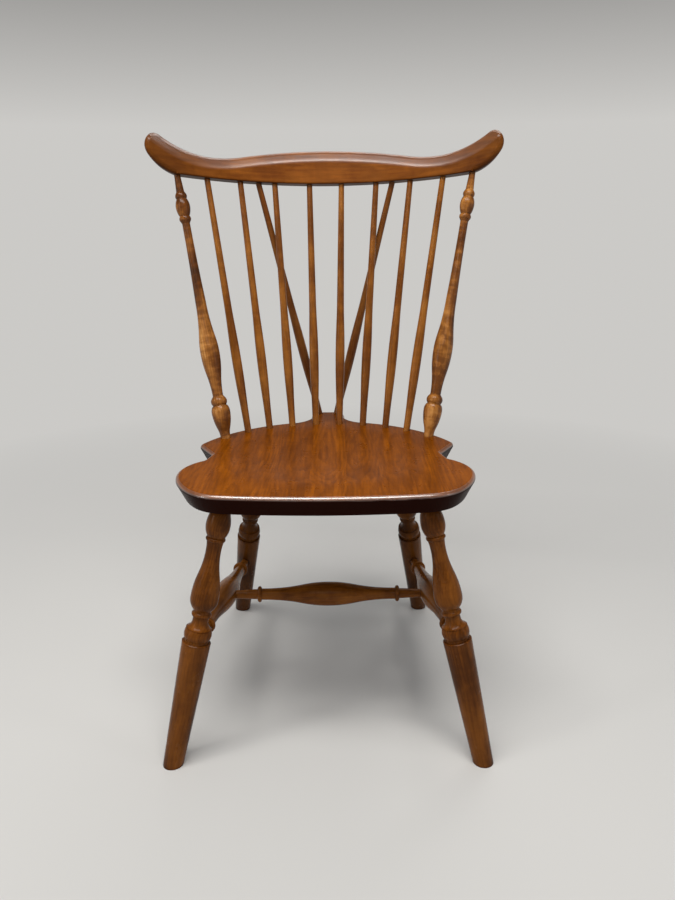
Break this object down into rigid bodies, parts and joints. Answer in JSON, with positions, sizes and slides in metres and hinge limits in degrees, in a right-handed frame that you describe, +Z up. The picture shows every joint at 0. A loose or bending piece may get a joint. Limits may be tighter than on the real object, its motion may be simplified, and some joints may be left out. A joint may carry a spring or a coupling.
{
  "type": "windsor chair",
  "caption": "Wooden side chair with a fan of turned spindles under a bent crest rail, braces to a seat tail, a dished seat, and turned legs on an H stretcher.",
  "frame": {"origin": "on the floor, at the middle of the chair's bounding box seen from above", "axes": "+Z up, the sitter faces -Y, +X to the right as seen from in front"},
  "size_m": [0.6038, 0.532, 0.9492],
  "materials": {
    "crest_wood": "stained and lacquered hardwood, satin gloss",
    "post_wood": "stained and lacquered hardwood, satin gloss",
    "spindle_wood": "stained and lacquered hardwood, satin gloss",
    "seat_wood": "stained and lacquered hardwood, satin gloss",
    "leg_wood": "stained and lacquered hardwood, satin gloss",
    "stretcher_wood": "stained and lacquered hardwood, satin gloss"
  },
  "bodies": {
    "root": {"crest_rail": "crest_wood", "back_post_left": "post_wood", "back_post_right": "post_wood", "spindle_1": "spindle_wood", "spindle_2": "spindle_wood", "spindle_3": "spindle_wood", "spindle_4": "spindle_wood", "spindle_5": "spindle_wood", "spindle_6": "spindle_wood", "spindle_7": "spindle_wood", "spindle_8": "spindle_wood", "brace_spindle_left": "spindle_wood", "brace_spindle_right": "spindle_wood", "seat_board_1": "seat_wood", "seat_board_2": "seat_wood", "seat_board_3": "seat_wood", "seat_board_4": "seat_wood", "seat_board_5": "seat_wood", "seat_board_6": "seat_wood", "seat_board_7": "seat_wood", "seat_board_8": "seat_wood", "seat_board_9": "seat_wood", "leg_front_left": "leg_wood", "leg_front_right": "leg_wood", "leg_rear_left": "leg_wood", "leg_rear_right": "leg_wood", "side_stretcher_left": "stretcher_wood", "side_stretcher_right": "stretcher_wood", "centre_stretcher": "stretcher_wood"}
  },
  "joints": []
}
